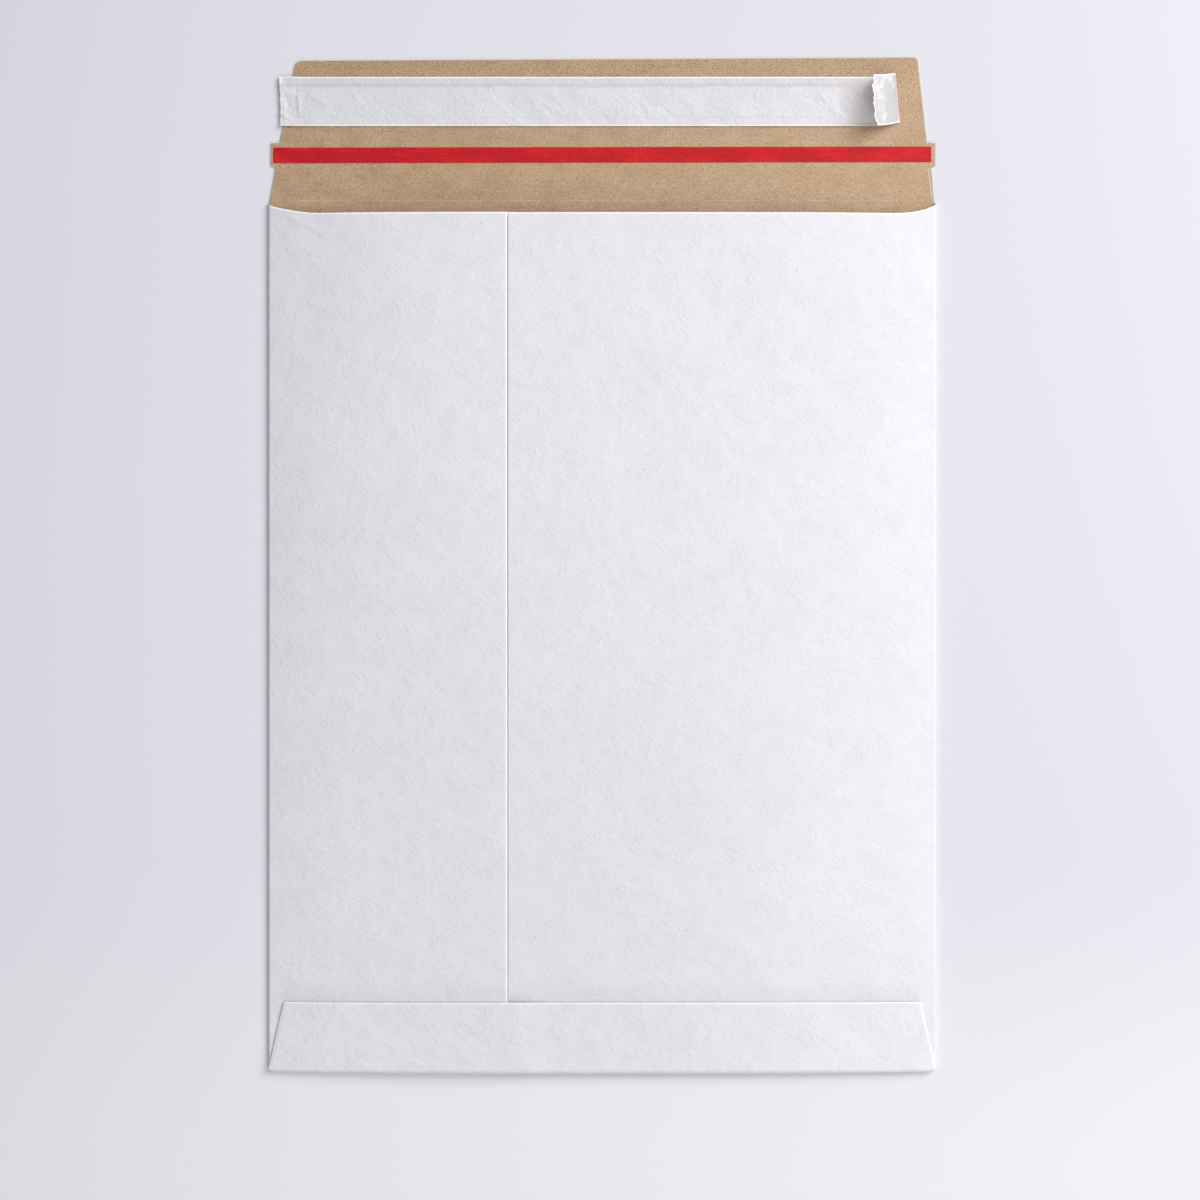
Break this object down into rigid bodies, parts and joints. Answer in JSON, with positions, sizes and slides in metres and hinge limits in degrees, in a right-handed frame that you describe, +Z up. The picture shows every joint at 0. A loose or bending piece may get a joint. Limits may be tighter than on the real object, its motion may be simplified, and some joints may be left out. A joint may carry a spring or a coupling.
{
  "type": "calendar envelope",
  "caption": "Flat solid-board mailing envelope with an off-centre side seam, a glued bottom flap and an open closing flap with tear tape and a covered adhesive strip.",
  "frame": {"origin": "centre of the lowest plane of the whole envelope's box, as it lies on its address side with the flap open: on the table, half way between the bottom fold and the flap's free edge", "axes": "+X to the right along the width, +Y from the bottom fold to the closing flap, +Z up off the table, out of the seam side"},
  "size_m": [0.25, 0.3806, 0.0075],
  "materials": {
    "white_board": "satin",
    "kraft_inside": "matte",
    "red_tape": "satin",
    "adhesive": "gloss",
    "liner": "satin",
    "glue": "matte"
  },
  "bodies": {
    "pocket_body": {"pocket": "white_board", "seam_glue": "glue", "bottom_flap_glue": "glue"},
    "flap_body": {"flap": "kraft_inside", "tear_tape": "red_tape", "adhesive_strip": "adhesive", "release_liner": "liner"}
  },
  "joints": [
    {"name": "flap_fold", "type": "hinge", "parent": "pocket_body", "child": "flap_body", "pos_m": [0, 0.13642, 0.00443], "axis": [1, 0, 0], "range_deg": [0, 180]}
  ]
}
